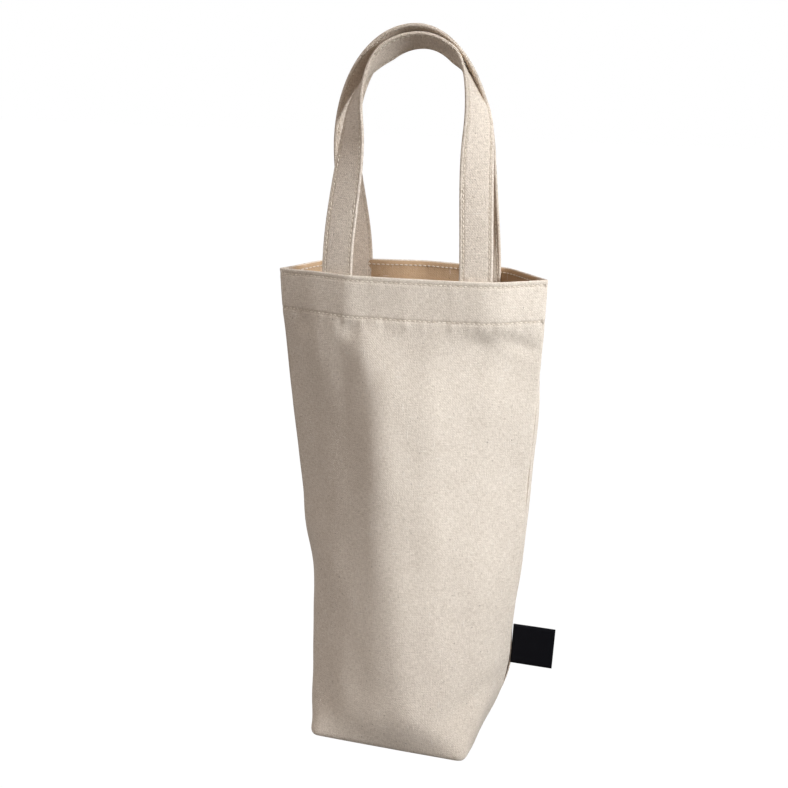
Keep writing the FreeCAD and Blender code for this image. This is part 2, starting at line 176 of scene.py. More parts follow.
# The bag in plan at rising heights: each height with its left and right seam (x, y), then the
# corners (x, y, radius) of its front and of its back, from left to right
SECTIONS = [
    (
        (0, (-61, 0), (56, 0)),
        [(-62.5, -43, 9), (55, -54, 8)],
        [(-61, 48, 8), (55, 48, 8)],
    ),
    (
        (24, (-63, 1), (68, 0)),
        [
            (-65, -26.5, 12), (-38, -44, 60), (-12, -54, 60),
            (12, -57, 60), (38, -51.5, 45), (61, -33, 20),
        ],
        [(-63.5, 38, 14), (-30, 47, 60), (4, 48.5, 70), (38, 47, 45), (61, 33, 20)],
    ),
    (
        (51, (-65, 1), (76.4, 0)),
        [
            (-66.5, -20.5, 16), (-38, -39.5, 60), (-12, -50.5, 60),
            (10, -55, 60), (38, -46, 60), (66, -20.5, 40),
        ],
        [(-63.5, 30, 20), (-36, 44, 60), (0, 48, 80), (38, 43.5, 60), (66, 20.5, 40)],
    ),
    (
        (80, (-67.5, 1), (77.4, 0)),
        [
            (-65.5, -18.5, 22), (-36, -36.5, 60), (-12, -47.5, 60),
            (4, -52, 60), (30, -45, 70), (59, -25, 60),
        ],
        [(-61.5, 28, 24), (-36, 41, 60), (-4, 47, 80), (30, 42, 70), (59, 25, 60)],
    ),
    (
        (130, (-72.5, 0), (81, 0)),
        [(-60, -19.5, 30), (-34, -35, 60), (-6, -47.5, 50), (25, -40, 60), (55, -24, 60)],
        [(-58, 24, 40), (-34, 38, 60), (-8, 45, 60), (25, 39, 60), (60, 22, 40), (82, 6, 6)],
    ),
    (
        (190, (-80, -1), (84.5, 0)),
        [(-55, -19.5, 60), (-12, -44.5, 32), (22, -36.5, 60), (55, -19, 60)],
        [(-52, 22, 60), (-14, 43.5, 50), (40, 26, 70), (85.5, 6, 6)],
    ),
    (
        (250, (-85.5, -4), (87.8, -3)),
        [(-57, -20, 60), (-15, -40.5, 30), (20, -35, 60), (55, -21.5, 60)],
        [(-54, 23, 60), (-18, 39.5, 50), (38, 28, 70), (88.5, 3, 6)],
    ),
    (
        (290, (-88.5, -7), (90, -5)),
        [(-62, -23, 30), (-26, -35.5, 24), (20, -31.5, 60), (58, -21.5, 50)],
        [(-60, 24, 40), (-20, 36, 50), (40, 29.5, 60), (60, 24, 40)],
    ),
    (
        (HEM_EDGE, (-89.8, -9), (91, -7)),
        [(-63, -23.5, 30), (-38, -32.3, 30), (0, -32.5, 60), (34, -29.6, 60), (58, -27.2, 50)],
        [(-60, 28, 30), (-34, 31, 30), (0, 33.5, 50), (34, 30.5, 30), (60, 28, 30)],
    ),
    (
        (RIM, (-91.2, -11), (92, -8)),
        [(-64, -23, 30), (-38, -32.2, 30), (0, -32, 60), (34, -30.4, 60), (58, -28.6, 50)],
        [(-60, 28, 24), (-34, 30.5, 30), (0, 36, 50), (34, 30.5, 30), (60, 28, 24)],
    ),
]

# Dents below the hem: depth, middle (x, z) and spread (x, z)
FRONT_DENTS = [
    (2.0, (-36.0, HEM_EDGE - 7.0), (7.0, 6.0)),
    (1.6, (-72.0, HEM_EDGE - 6.0), (6.0, 7.0)),
    (1.4, (50.0, HEM_EDGE - 12.0), (9.0, 7.0)),
]
BACK_DENTS = [
    (1.2, (30.0, HEM_EDGE - 10.0), (9.0, 7.0)),
    (1.0, (-48.0, HEM_EDGE - 8.0), (8.0, 7.0)),
]
# Creases of the front: depth, or height where it is below 0, the two ends (x, z) and the spread
FRONT_CREASES = [
    (1.4, (66.0, HEM_EDGE - 9.0), (84.0, HEM_EDGE - 18.0), 5.0),
    (1.6, (75.0, 52.0), (26.0, 24.0), 7.0),
    (0.6, (-22.0, 50.0), (-6.0, 14.0), 13.0),
    (-1.2, (12.0, 34.0), (46.0, 8.0), 8.0),
    (0.9, (-66.0, 240.0), (-58.0, 110.0), 7.0),
    (-0.8, (-48.0, 205.0), (-46.0, 70.0), 9.0),
    (0.7, (-44.0, 285.0), (-36.0, 215.0), 6.0),
]


def beside_seam(shares, reach):
    """1 at both seams, falling off within the reach."""
    return bump(np.minimum(shares, 1 - shares) * SEAM_TO_SEAM, 0.0, reach)


def rim_drop(shares):
    """How far the rim hangs below its full height: a little, near the left seam."""
    return np.where(shares < 0.5, RIM_DROP, 0.0) * beside_seam(shares, RIM_DROP_REACH)


def seam_draw(shares):
    """How far the cloth is drawn in beside a seam."""
    return SEAM_DRAW * beside_seam(shares, SEAM_DRAW_REACH)


def seam_sway(shares, z):
    """How far the slack left seam swings out and in on its way up."""
    waves = 0.9 * np.sin(z / 15.0 + 0.6) + 0.5 * np.sin(z / 8.5)
    return waves * bump(shares * SEAM_TO_SEAM, 0.0, 16.0) * bump(z, 130.0, 75.0)


def crease(x, z, start, end, spread):
    """A soft line between two places on a panel, 1 along its middle and 0 away from it."""
    run = np.subtract(end, start).astype(float)
    share = np.clip(((x - start[0]) * run[0] + (z - start[1]) * run[1]) / (run @ run), 0, 1)
    gap = np.hypot(x - start[0] - share * run[0], z - start[1] - share * run[1])
    return np.exp(-((gap / spread) ** 2)) * (0.25 + 0.75 * np.sin(math.pi * (0.1 + 0.8 * share)))


def sewn_relief(x, z):
    """What sewing does to the cloth: two sunk rows in the hem, and puckers along them."""
    rows = -0.5 * (bump(z, UPPER_ROW, 1.0) + bump(z, LOWER_ROW, 1.1))
    pucker = np.sin(x * 0.62 + 0.4) + 0.7 * np.sin(x * 0.37 + 1.9) + 0.5 * np.sin(x * 1.05)
    return rows + pucker * (0.16 * bump(z, LOWER_ROW - 3.0, 5.0) + 0.07 * bump(z, UPPER_ROW - 4.0, 4.0))


def slack(x, z, turn):
    """Slow, shallow waves of loose cloth."""
    waves = np.sin(0.043 * x + 0.031 * z + turn) + 0.7 * np.sin(0.085 * x - 0.052 * z + 2 * turn)
    waves = waves + 0.5 * np.sin(0.12 * x + 0.093 * z + 3 * turn)
    return 0.35 * waves * ease(z / 40) * (1 - ease((z - HEM_EDGE + 10) / 10))


class Panel:
    """One panel of the bag: drawn in at its seams, dented, creased, and low at the rim's left corner."""

    def __init__(self, side, slack_turn, dents, creases=()):
        outlines = []
        for (z, left, right), *corner_sets in SECTIONS:
            outlines.append((z, [(*left, 0), *corner_sets[0 if side < 0 else 1], (*right, 0)]))
        self.wall = Wall(outlines, AROUND)
        self.side, self.slack_turn = side, slack_turn
        self.dents, self.creases = dents, creases
        self.shares = np.linspace(0, 1, AROUND)

    def relief(self, x, z):
        """How far the cloth at these places stands out from its wall."""
        out = sewn_relief(x, z) + slack(x, z, self.slack_turn)
        for depth, middle, spread in self.dents:
            out = out - depth * bump(x, middle[0], spread[0]) * bump(z, middle[1], spread[1])
        for depth, start, end, spread in self.creases:
            out = out - depth * crease(x, z, start, end, spread)
        return out

    def row(self, z, inset=0.0, height=None):
        """The panel's points at one height, moved in from its face by the inset."""
        plan = self.wall.plan(z)
        along = np.gradient(plan, axis=0)
        out = np.stack([along[:, 1], -along[:, 0]], axis=1) * -self.side
        out /= np.linalg.norm(out, axis=1)[:, None]
        plan = plan + out * (self.relief(plan[:, 0], z) - inset)[:, None]
        drawn = seam_draw(self.shares) * ease((z - SEAM_DRAW_START) / SEAM_DRAW_RISE)
        plan[:, 0] += seam_sway(self.shares, z) - np.sign(plan[:, 0]) * drawn
        drop = rim_drop(self.shares) * ease((z - RIM + RIM_DROP_RISE) / RIM_DROP_RISE)
        return np.column_stack([plan, (z if height is None else height) - drop])

    def grid(self):
        """Rows of points from the base seam out, up the wall, over the rim and down the hem."""
        rows = []
        for share in np.linspace(0.0, BASE_FLAT, BASE_ROWS):
            edge = self.row(0.0, BASE_ROUND)
            edge[:, 1] *= share
            rows.append(edge)
        for turn in np.radians(np.arange(0, 90, 18)):
            rows.append(self.row(BASE_ROUND * (1 - math.cos(turn)), BASE_ROUND * (1 - math.sin(turn))))
        coarse = np.arange(BASE_ROUND, FINE_FROM, ROW_STEP)
        fine = np.arange(FINE_FROM, RIM - FOLD, FINE_STEP)
        for z in [*coarse, *fine, RIM - FOLD]:
            rows.append(self.row(z))
        for turn in np.radians(np.arange(30, 180, 30)):
            rows.append(self.row(RIM, FOLD * (1 - math.cos(turn)), RIM - FOLD + FOLD * math.sin(turn)))
        for z in np.linspace(RIM - FOLD, HEM_EDGE, TURNED_ROWS):
            rows.append(self.row(z, 2 * FOLD))
        return np.array(rows)


# Meshes

def new_piece(name, points, faces, material, uv=None, marks=None):
    """A mesh piece from points in millimetres, with its cloth laid out in metres on a UV map."""
    mesh = bpy.data.meshes.new(name)
    mesh.from_pydata([tuple(p * MM) for p in points], [], faces)
    mesh.materials.append(material)
    if uv is not None:
        layer = mesh.uv_layers.new(name="cloth")
        corners = np.empty(len(mesh.loops), dtype=np.int32)
        mesh.loops.foreach_get("vertex_index", corners)
        layer.data.foreach_set("uv", (uv[corners] * MM).astype(np.float32).ravel())
    for mark, values in (marks or {}).items():
        mesh.attributes.new(mark, "FLOAT", "POINT").data.foreach_set("value", values.astype(np.float32))
    mesh.polygons.foreach_set("use_smooth", [True] * len(mesh.polygons))
    mesh.update()
    piece = bpy.data.objects.new(name, mesh)
    bpy.context.scene.collection.objects.link(piece)
    return piece


def cloth_layer(grid, side, thickness, base_rows=0, turned_rows=0, interior_shade_share=0.0):
    """A sheet of even thickness whose face is the grid: its points, faces and layout, then two marks.

    The first mark is the painted warm shade of the bag's interior, given by column on the sheet's back and
    its turned rows, 0 elsewhere. The second is painted shade along the hem's two sunk rows of stitches,
    with soiling at the needle holes.
    """
    rows, columns = grid.shape[:2]
    normal = np.cross(np.gradient(grid, axis=1), np.gradient(grid, axis=0)) * -side
    normal /= np.maximum(np.linalg.norm(normal, axis=2), 1e-9)[:, :, None]
    normal[:base_rows] = (0.0, 0.0, -1.0)
    points = np.concatenate([grid.reshape(-1, 3), (grid - normal * thickness).reshape(-1, 3)])
    across, up = run_of(grid[rows // 2]), run_of(grid[:, columns // 2])
    uv = np.stack(np.meshgrid(across, up), axis=2).reshape(-1, 2)
    behind = rows * columns
    faces = []

    def add(a, b, c, d):
        faces.append((a, b, c, d) if side < 0 else (d, c, b, a))

    for i in range(rows - 1):
        for j in range(columns - 1):
            a, b = i * columns + j, i * columns + j + 1
            c, d = b + columns, a + columns
            add(a, b, c, d)
            add(d + behind, c + behind, b + behind, a + behind)
    for j in range(columns - 1):
        top = (rows - 1) * columns + j
        add(j + 1, j, j + behind, j + 1 + behind)
        add(top, top + 1, top + 1 + behind, top + behind)
    for i in range(rows - 1):
        a, b = i * columns, (i + 1) * columns
        add(a, b, b + behind, a + behind)
        a, b = a + columns - 1, b + columns - 1
        add(b, a, a + behind, b + behind)
    # Painted warm shade of the bag's interior, standing in for light bounced in and passed through the
    # cloth
    interior_shade = np.zeros((2, rows, columns))
    interior_shade[1] = interior_shade_share
    interior_shade[0, rows - turned_rows :] = interior_shade_share
    # Painted shade of the hem's sunk stitch rows, with soiling at the needle holes
    level = grid[:, columns // 2, 2]
    sewn_rows = bump(level, UPPER_ROW, 0.8) + bump(level, LOWER_ROW, 0.8)
    sewn = np.tile(np.repeat(sewn_rows, columns), 2)
    return points, faces, np.concatenate([uv, uv]), interior_shade.ravel(), sewn


def cloth_piece(name, layers, material):
    """One piece of cloth from its layers."""
    points, faces, layout, interior_shade, sewn = [], [], [], [], []
    start = 0
    for layer_points, layer_faces, layer_uv, layer_interior_shade, layer_sewn in layers:
        points.append(layer_points)
        layout.append(layer_uv)
        interior_shade.append(layer_interior_shade)
        sewn.append(layer_sewn)
        faces.extend(tuple(start + corner for corner in face) for face in layer_faces)
        start += len(layer_points)
    points, layout, interior_shade, sewn = (np.concatenate(part) for part in (points, layout, interior_shade, sewn))
    return new_piece(name, points, faces, material, layout, {"interior_shade": interior_shade, "sewn": sewn})


def half_handle(foot, leg_top, crown, turns, twist):
    """Half a handle, from its foot up one leg and over a quarter arch to its crown: places and turns."""
    rise = np.linspace(0, 1, HALF_POINTS, endpoint=False)
    swing = np.linspace(0, math.pi / 2, HALF_POINTS)
    leg_x = foot[0] + (leg_top[0] - foot[0]) * ease(rise)
    leg_z = RIM + (leg_top[1] - RIM) * rise
    arch_x = crown[0] + (leg_top[0] - crown[0]) * np.cos(swing)
    arch_z = leg_top[1] + (crown[2] - leg_top[1]) * np.sin(swing)
    across, up = np.concatenate([leg_x, arch_x]), np.concatenate([leg_z, arch_z])
    run = run_of(np.stack([across, up], axis=1))
    share = run / run[-1]
    deep = foot[1] + (crown[1] - foot[1]) * ease(share)
    settle, hold, release = twist
    turn = turns[1] + (turns[0] - turns[1]) * (1 - np.minimum(share / settle, 1) ** hold) ** release
    return np.stack([across, deep, up, turn], axis=1)


def handle_line(lie, count):
    """Stations of a handle from left to right: middle, the ways of its width and its face, and run."""
    halves = []
    for foot, leg_top, turn in zip(lie["feet"], lie["leg_tops"], lie["foot_turns"]):
        turns = (turn, lie["crown_turn"])
        halves.append(half_handle(foot, leg_top, lie["crown"], turns, lie["twist"]))
    loop = np.concatenate([halves[0], halves[1][-2::-1]])
    down = np.linspace(STRAP_TUCK, 1.0, 9)
    left = np.repeat(loop[:1], len(down), axis=0)
    right = np.repeat(loop[-1:], len(down), axis=0)
    left[:, 2] -= down
    right[:, 2] -= down[::-1]
    line = np.concatenate([left, loop, right])
    run = run_of(line[:, :3])
    even = np.linspace(0, run[-1], count)
    line = np.stack([np.interp(even, run, line[:, k]) for k in range(4)], axis=1)
    middle, turn = line[:, :3], np.radians(line[:, 3:])
    tangent = np.gradient(middle, axis=0)
    tangent /= np.linalg.norm(tangent, axis=1)[:, None]
    out = np.cross(tangent, [0.0, 1.0, 0.0])
    out /= np.linalg.norm(out, axis=1)[:, None]
    across = np.cross(out, tangent)
    width = across * np.cos(turn) + out * np.sin(turn)
    face = out * np.cos(turn) - across * np.sin(turn)
    return middle, width, face, even


def strap_profile():
    """The strap's cross-section: a folded band, flat between two sewn channels, with rounded edges."""
    half, thick = STRAP_WIDTH / 2, STRAP_THICKNESS / 2
    flat = np.linspace(-half + thick, half - thick, STRAP_POINTS)
    rise = thick - 0.42 * bump(np.abs(flat), STRAP_ROW, 0.9) + 0.12 * bump(flat, 0.0, 5.0)
    turn = np.radians(np.arange(60, -90, -30))
    edge = np.stack([half - thick + thick * np.cos(turn), thick * np.sin(turn)], axis=1)
    upper = np.stack([flat, rise], axis=1)
    lower = np.stack([flat[::-1], -rise[::-1]], axis=1)
    return np.concatenate([upper, edge, lower, edge[::-1] * [-1, 1]])


# How much of the painted warm interior shade a strap's inner face gets in its colour
INNER_FACE_SHADE = 0.1


def strap_piece(name, stations, material):
    """One strap as a band swept along its stations, closed at both sewn ends."""
    line, width, face, run = stations
    profile = strap_profile()
    count = len(profile)
    points = (
        line[:, None] + width[:, None] * profile[None, :, :1] + face[:, None] * profile[None, :, 1:]
    ).reshape(-1, 3)
    around = run_of(profile)
    uv = np.stack(np.meshgrid(around, run), axis=2).reshape(-1, 2)
    faces = []
    for i in range(len(line) - 1):
        for j in range(count):
            k = (j + 1) % count
            faces.append((i * count + j, (i + 1) * count + j, (i + 1) * count + k, i * count + k))
    faces.append(tuple(range(count)))
    last = (len(line) - 1) * count
    faces.append(tuple(last + j for j in reversed(range(count))))
    # Painted shade of the strap's sunk stitch rows, with soiling at the needle holes
    sewn = np.tile(bump(np.abs(profile[:, 0]), STRAP_ROW, 0.7), len(line))
    # Painted warm interior shade on the strap's inner face
    inner_face_shade = np.tile(np.where(profile[:, 1] < 0, INNER_FACE_SHADE, 0.0), len(line))
    return new_piece(name, points, faces, material, uv, {"sewn": sewn, "interior_shade": inner_face_shade})


# Materials

class Tone:
    """A value on a node tree that can be worked with as in plain arithmetic."""

    def __init__(self, net, socket):
        self.net, self.socket = net, socket

    def work(self, operation, first, *others):
        """One sum, product or other working of these values."""
        return self.net.node("ShaderNodeMath", {"operation": operation}, first, *others)

    def __add__(self, other):
        return self.work("ADD", self, other)

    def __sub__(self, other):
        return self.work("SUBTRACT", self, other)

    def __mul__(self, other):
        return self.work("MULTIPLY", self, other)

    def wave(self, period):
        """A sine wave along this value."""
        return self.work("SINE", self * (math.tau / period))

    def over(self, low, high):
        """0 below `low`, 1 above `high`, smooth between."""
        settings = {"interpolation_type": "SMOOTHSTEP"}
        return self.net.node("ShaderNodeMapRange", settings, self, low, high, 0.0, 1.0)


class Net:
    """A node tree written as plain calls."""

    def __init__(self, tree):
        self.tree = tree

    def node(self, kind, settings, *values, out=0, **named):
        """One output of a new node with these settings, its inputs filled in order or by name."""
        made = self.tree.nodes.new(kind)
        for key, value in settings.items():
            setattr(made, key, value)
        for key, value in [*enumerate(values), *((k.replace("_", " "), v) for k, v in named.items())]:
            if isinstance(value, Tone):
                self.tree.links.new(value.socket, made.inputs[key])
            else:
                made.inputs[key].default_value = value
        return Tone(self, made.outputs[out]) if made.outputs else None


class Shade(Net):
    """A material written as plain calls."""

    def __init__(self, name):
        self.material = bpy.data.materials.new(name)
        self.material.use_nodes = True
        super().__init__(self.material.node_tree)
        self.tree.nodes.clear()

    def blend(self, share, first, second):
        """The first colour, going over to the second as the share rises."""
        made = self.tree.nodes.new("ShaderNodeMix")
        made.data_type = "RGBA"
        for index, value in ((0, share), (6, first), (7, second)):
            if isinstance(value, Tone):
                self.tree.links.new(value.socket, made.inputs[index])
            else:
                made.inputs[index].default_value = value if index == 0 else (*value, 1.0)
        return Tone(self, made.outputs[2])

    def show(self, surface):
        """The finished material with this surface."""
        self.node("ShaderNodeOutputMaterial", {}, surface)
        return self.material

    def finish(self, **inputs):
        """The finished material with these inputs of its surface."""
        return self.show(self.node("ShaderNodeBsdfPrincipled", {}, **inputs))


def paint(red, green, blue):
    """A colour given as it looks, made linear."""
    shown = (red / 255, green / 255, blue / 255)
    return tuple(v / 12.92 if v <= 0.04045 else ((v + 0.055) / 1.055) ** 2.4 for v in shown)


YARN_PITCH = 0.85
# Painted warm shade of the bag's interior, standing in for bounced and passed-through light
PAINTED_INTERIOR_SHADE = paint(190, 149, 102)
# Painted shade of sunk stitch rows, with soiling at the needle holes
SEWN_ROW_SHADE_AND_SOIL = paint(150, 128, 104)
SLUB_COLOUR = paint(240, 234, 224)
SEED_COLOUR = paint(112, 88, 64)


def woven(name, light, deep):
    """Unbleached cotton in plain weave: two sets of uneven yarns, pale slubs and dark specks of seed, with
    painted warm shade on the bag's interior and painted shade with needle-hole soiling along the stitch
    rows.
    """
    shade = Shade(name)
    lay = shade.node("ShaderNodeUVMap", {"uv_map": "cloth"})

    def grain(across, along, detail, seed):
        place, scale = (seed, seed, 0.0), (across, along, 1.0)
        laid = shade.node("ShaderNodeMapping", {}, lay, Location=place, Scale=scale)
        return shade.node("ShaderNodeTexNoise", {}, Vector=laid, Scale=1.0, Detail=detail)

    threads = 1 / MM / YARN_PITCH
    warp = grain(threads * 1.1, threads * 0.22, 1.0, 1.3)
    weft = grain(threads * 0.22, threads * 1.1, 1.0, 7.7)
    along_warp = shade.node("ShaderNodeSeparateXYZ", {}, lay, out="X")
    along_weft = shade.node("ShaderNodeSeparateXYZ", {}, lay, out="Y")
    over = along_warp.wave(2 / threads) * along_weft.wave(2 / threads)
    yarn = warp * 0.5 + weft * 0.5
    nub = grain(threads, threads * 0.75, 1.0, 4.4)
    height = yarn * 1.2 + nub * 0.6 + over * 0.16
    mottle = grain(90.0, 75.0, 3.0, 3.1)
    warp_slub = grain(110.0, 700.0, 0.0, 5.5).over(0.74, 0.84)
    weft_slub = grain(700.0, 110.0, 0.0, 9.5).over(0.75, 0.84)
    slub = warp_slub + weft_slub
    speck = grain(620.0, 520.0, 0.0, 12.0).over(0.80, 0.84)
    share = (yarn - 0.5) * 2.2 + (nub - 0.5) + over * 0.1 + (mottle - 0.5) * 0.35 + 0.5
    colour = shade.blend(share, deep, light)
    # Painted warm shade where the cloth faces the bag's interior
    interior_shade = shade.node("ShaderNodeAttribute", {"attribute_name": "interior_shade"}, out="Fac")
    colour = shade.blend(interior_shade * 0.78, colour, PAINTED_INTERIOR_SHADE)
    # Painted shade along the sunk stitch rows, with soiling at the needle holes
    sewn = shade.node("ShaderNodeAttribute", {"attribute_name": "sewn"}, out="Fac")
    colour = shade.blend(sewn * 0.26, colour, SEWN_ROW_SHADE_AND_SOIL)
    colour = shade.blend(slub * 0.25, colour, SLUB_COLOUR)
    colour = shade.blend(speck * 0.5, colour, SEED_COLOUR)
    raised = shade.node("ShaderNodeBump", {}, Strength=0.5, Distance=0.0005, Height=height + slub * 0.25)
    return shade.finish(Base_Color=colour, Roughness=0.92, Normal=raised, Sheen_Weight=0.12)


canvas = woven("natural canvas", paint(242, 230, 215), paint(205, 190, 172))
strap_canvas = woven("strap canvas", paint(245, 232, 216), paint(197, 181, 163))


def spun(name, light, deep):
    """Twisted cotton thread."""
    shade = Shade(name)
    place = shade.node("ShaderNodeTexCoord", {}, out="Object")
    fuzz = shade.node("ShaderNodeTexNoise", {}, Vector=place, Scale=900.0, Detail=2.0)
    return shade.finish(Base_Color=shade.blend(fuzz.over(0.3, 0.7), deep, light), Roughness=0.75)


def taped(name):
    """Bare black woven tape with fine ribs."""
    shade = Shade(name)
    lay = shade.node("ShaderNodeUVMap", {"uv_map": "cloth"})
    across = shade.node("ShaderNodeSeparateXYZ", {}, lay, out="X")
    up = shade.node("ShaderNodeSeparateXYZ", {}, lay, out="Y")
    rib = (across.wave(0.0005) * 0.5 + 0.5) * (up.wave(0.00042) * 0.25 + 0.75)
    colour = shade.blend(rib * 0.6, paint(3, 3, 7), paint(18, 18, 28))
    raised = shade.node("ShaderNodeBump", {}, Strength=0.3, Distance=0.0002, Height=rib)
    return shade.finish(Base_Color=colour, Roughness=0.7, Normal=raised, Specular_IOR_Level=0.15)


thread = spun("cotton thread", paint(236, 226, 210), paint(214, 200, 180))
label_tape = taped("woven label tape")


# Panels with their seam allowances

front = Panel(-1, 0.8, FRONT_DENTS, FRONT_CREASES)
back = Panel(1, 2.1, BACK_DENTS)
# Half lengths of the seams on the base, and how far out its corner seams lie
BASE_SEAM_HALF = 40
CORNER_SEAM_HALF = 37
CORNER_SEAM_OUT = 49
RIGHTWARDS, REARWARDS, UPWARDS = np.eye(3)


def side_seam(end):
    """The side seam below the hem, at the left (0) or the right (-1)."""
    return np.array([front.row(z)[end] for z in np.linspace(12.0, HEM_EDGE - 1.5, 60)])


def floor_line(start, end):
    """A straight seam on the base, from one plan point to another."""
    return np.column_stack([np.linspace(start, end, SEAM_POINTS), np.full(SEAM_POINTS, CLOTH)])


def corner_line(out):
    """The seam across a boxed corner, this far out along the base."""
    return floor_line((out, -CORNER_SEAM_HALF), (out, CORNER_SEAM_HALF))


# Each seam's line, the way its allowance stands, and the way the allowance's face looks
SEAMS = {
    "left_seam": (side_seam(0), RIGHTWARDS, -REARWARDS),
    "right_seam": (side_seam(-1), -RIGHTWARDS, -REARWARDS),
    "base_seam": (floor_line((-BASE_SEAM_HALF, 0), (BASE_SEAM_HALF, 0)), UPWARDS, -REARWARDS),
    "left_corner": (corner_line(-CORNER_SEAM_OUT), UPWARDS, RIGHTWARDS),
    "right_corner": (corner_line(CORNER_SEAM_OUT), UPWARDS, -RIGHTWARDS),
}


def strip(line, inwards, face):
    """The middle of an allowance that stands in from a seam and sways a little along it."""
    depth = np.linspace(0.4, ALLOWANCE, 5)[None, :, None]
    sway = 0.5 * np.sin(run_of(line) / 17.0)[:, None, None] * depth / ALLOWANCE
    return line[:, None] + inwards * depth + face * sway


def strip_layer(grid, face, thickness):
    """A layer of an allowance with its face turned the way given."""
    looks = np.cross(grid[0, -1] - grid[0, 0], grid[-1, 0] - grid[0, 0]) @ face
    # Painted warm interior shade, rising across the allowance
    interior_shade_share = np.linspace(-1, 1, grid.shape[1]).clip(0, 1)
    return cloth_layer(grid, -1 if looks > 0 else 1, thickness, turned_rows=len(grid), interior_shade_share=interior_shade_share)


# Which columns of a panel get the painted warm interior shade on their back: none beside the seams, then
# more and more
PLAIN_COLUMNS = 6
FADING_COLUMNS = 8
from_seam = np.minimum(np.arange(AROUND), np.arange(AROUND)[::-1])
panel_interior_shade = ((from_seam - PLAIN_COLUMNS) / FADING_COLUMNS).clip(0, 1)


for name, panel in (("front_panel", front), ("back_panel", back)):
    layers = [cloth_layer(panel.grid(), panel.side, CLOTH, BASE_ROWS, TURNED_ROWS, panel_interior_shade)]
    for seam, (line, inwards, face) in SEAMS.items():
        grid = strip(line, inwards, face)
        if seam.endswith("corner"):
            middle = SEAM_POINTS // 2
            half = grid[:middle] if panel.side < 0 else grid[middle:]
            layers.append(strip_layer(half + face * CLOTH, face, 2 * CLOTH))
        else:
            look = face * -panel.side
            layers.append(strip_layer(grid + look * CLOTH, look, CLOTH))
    cloth = cloth_piece(name + "_cloth", layers, canvas)
    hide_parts(name)
    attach(cloth, "bag")


# Handles

# How each handle lies, left and right: its feet (x, y), the tops of its legs (x, z), its crown, and its
# turn about its own run in degrees. Its twist is the share of half its run after which it keeps the
# crown's turn, and two powers for how it gets there.
LIES = {
    "front": {
        "feet": ((-46.5, -25.5), (46.0, -25.2)),
        "leg_tops": ((-40.0, RIM + 98.0), (42.5, RIM + 92.0)),
        "crown": (2.5, -1.0, RIM + 149.5),
        "foot_turns": (77.0, 86.0),
        "crown_turn": -28.0,
        "twist": (0.86, 3.4, 1.3),
    },
    "back": {
        "feet": ((-45.5, 26.0), (44.5, 26.0)),
        "leg_tops": ((-51.0, RIM + 76.0), (44.5, RIM + 79.0)),
        "crown": (0.5, 0.0, RIM + 155.0),
        "foot_turns": (-68.0, -84.0),
        "crown_turn": -25.0,
        "twist": (1.0, 1.0, 2.6),
    },
}
handles = {which: handle_line(lie, HANDLE_STATIONS) for which, lie in LIES.items()}
for which, stations in handles.items():
    strap = strap_piece(which + "_handle_strap", stations, strap_canvas)
    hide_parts(which + "_handle", which + "_handle_left_end", which + "_handle_right_end")
    which + "_loop"
    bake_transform(strap)


# Sewing

def thread_group(name, sizes, build):
    """A node group that lays thread along lines; `build` gets the tree, the lines and the sizes."""
    group = bpy.data.node_groups.new(name, "GeometryNodeTree")
    sockets = group.interface
    sockets.new_socket("Lines", in_out="INPUT", socket_type="NodeSocketGeometry")
    for size in sizes:
        sockets.new_socket(size, in_out="INPUT", socket_type="NodeSocketFloat")
    sockets.new_socket("Thread", in_out="INPUT", socket_type="NodeSocketMaterial")
    sockets.new_socket("Sewn", in_out="OUTPUT", socket_type="NodeSocketGeometry")
    net = Net(group)
    given = group.nodes.new("NodeGroupInput")
    lines, *values, material, _ = (Tone(net, socket) for socket in given.outputs)
    curve = net.node("GeometryNodeMeshToCurve", {}, lines)
    laid = build(net, curve, *values)
    smooth = net.node("GeometryNodeSetShadeSmooth", {}, laid)
    dressed = net.node("GeometryNodeSetMaterial", {}, smooth, Material=material)
    net.node("NodeGroupOutput", {}, dressed)
    return group


def running_stitches(net, curve, pitch, length, thickness):
    """Single stitches, each a short rounded length of thread."""
    spots = net.node("GeometryNodeCurveToPoints", {"mode": "LENGTH"}, curve, Length=pitch)
    turns = Tone(net, spots.socket.node.outputs["Rotation"])
    ball = net.node("GeometryNodeMeshUVSphere", {}, Segments=8, Rings=5, Radius=0.5)
    size = net.node("ShaderNodeCombineXYZ", {}, thickness, thickness, length)
    stitch = net.node("GeometryNodeTransform", {}, ball, Scale=size)
    placed = net.node("GeometryNodeInstanceOnPoints", {}, spots, Instance=stitch, Rotation=turns)
    return net.node("GeometryNodeRealizeInstances", {}, placed)


def wound_thread(net, curve, thickness):
    """One unbroken thread."""
    ring = net.node("GeometryNodeCurvePrimitiveCircle", {}, Resolution=6, Radius=thickness)
    return net.node("GeometryNodeCurveToMesh", {}, curve, ring)


STITCHES = thread_group("running stitches", ("Pitch", "Length", "Thickness"), running_stitches)
WINDING = thread_group("wound thread", ("Thickness",), wound_thread)


